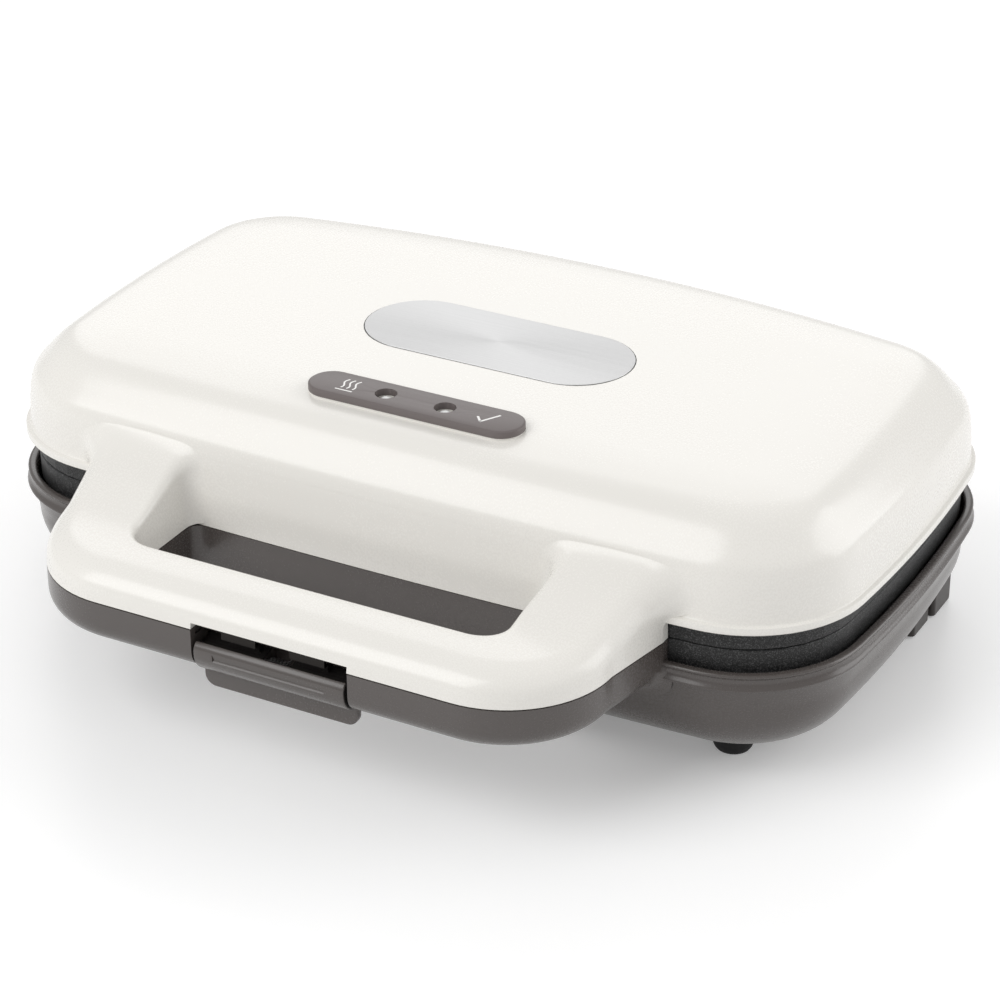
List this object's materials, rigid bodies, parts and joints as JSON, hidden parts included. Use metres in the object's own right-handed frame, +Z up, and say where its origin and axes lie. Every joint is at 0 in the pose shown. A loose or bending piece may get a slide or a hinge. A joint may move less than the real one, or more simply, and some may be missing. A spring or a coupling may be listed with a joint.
{
  "type": "sandwich toaster",
  "caption": "Closed countertop sandwich toaster with hinged lid, cast non-stick plates, looped front grip and pull latch.",
  "frame": {"origin": "on the table under the middle of the whole object's outline", "axes": "+X across the front to the right, +Y towards the hinges at the back, +Z up"},
  "size_m": [0.3056, 0.2408, 0.0948],
  "materials": {
    "lid_body": "glossy",
    "base_body": "semi-gloss",
    "strip": "satin",
    "non_stick": "speckled non-stick coating",
    "badge_steel": "brushed",
    "steel": "plain",
    "element_steel": "heat darkened",
    "tray_metal": "mill",
    "rubber": "matte",
    "wire": "silicone insulation",
    "ceramic": "matte",
    "lens": "translucent",
    "lamp_glass": "clear"
  },
  "bodies": {
    "base": {"base_shell": "base_body", "base_grip_cover": "base_body", "lower_plate": "non_stick", "lower_element": "element_steel", "lower_element_clamps": "steel", "lower_reflector": "tray_metal", "lower_plate_screws": "steel", "front_feet": "rubber", "front_foot_screws": "steel", "rear_feet": "base_body", "rear_foot_pads": "rubber", "cord_gland": "base_body", "terminal_block": "ceramic", "base_leads": "wire", "thermal_fuse": "ceramic", "hinge_brackets": "base_body", "hinge_screws": "steel", "hinge_pins": "steel", "latch_pin": "steel", "latch_spring": "steel"},
    "lid": {"lid_shell": "lid_body", "lid_grip_cover": "lid_body", "upper_plate": "non_stick", "upper_element": "element_steel", "upper_element_clamps": "steel", "upper_reflector": "tray_metal", "upper_plate_screws": "steel", "thermostat": "ceramic", "lid_leads": "wire", "lid_hinge_arms": "lid_body", "lid_arm_screws": "steel", "striker": "steel", "badge_plate": "badge_steel", "indicator_strip": "strip", "lamp_lenses": "lens", "lamps": "lamp_glass", "lamp_holder": "ceramic"},
    "clip": {"latch_clip": "base_body"}
  },
  "joints": [
    {"name": "lid_hinge", "type": "hinge", "parent": "base", "child": "lid", "pos_m": [0, 0.11515, 0.0509], "axis": [-1, 0, 0], "range_deg": [0, 105]},
    {"name": "latch_hinge", "type": "hinge", "parent": "base", "child": "clip", "pos_m": [0, -0.11415, 0.0423], "axis": [-1, 0, 0], "range_deg": [0, 22], "stiffness_Nm_per_rad": 0.02}
  ]
}
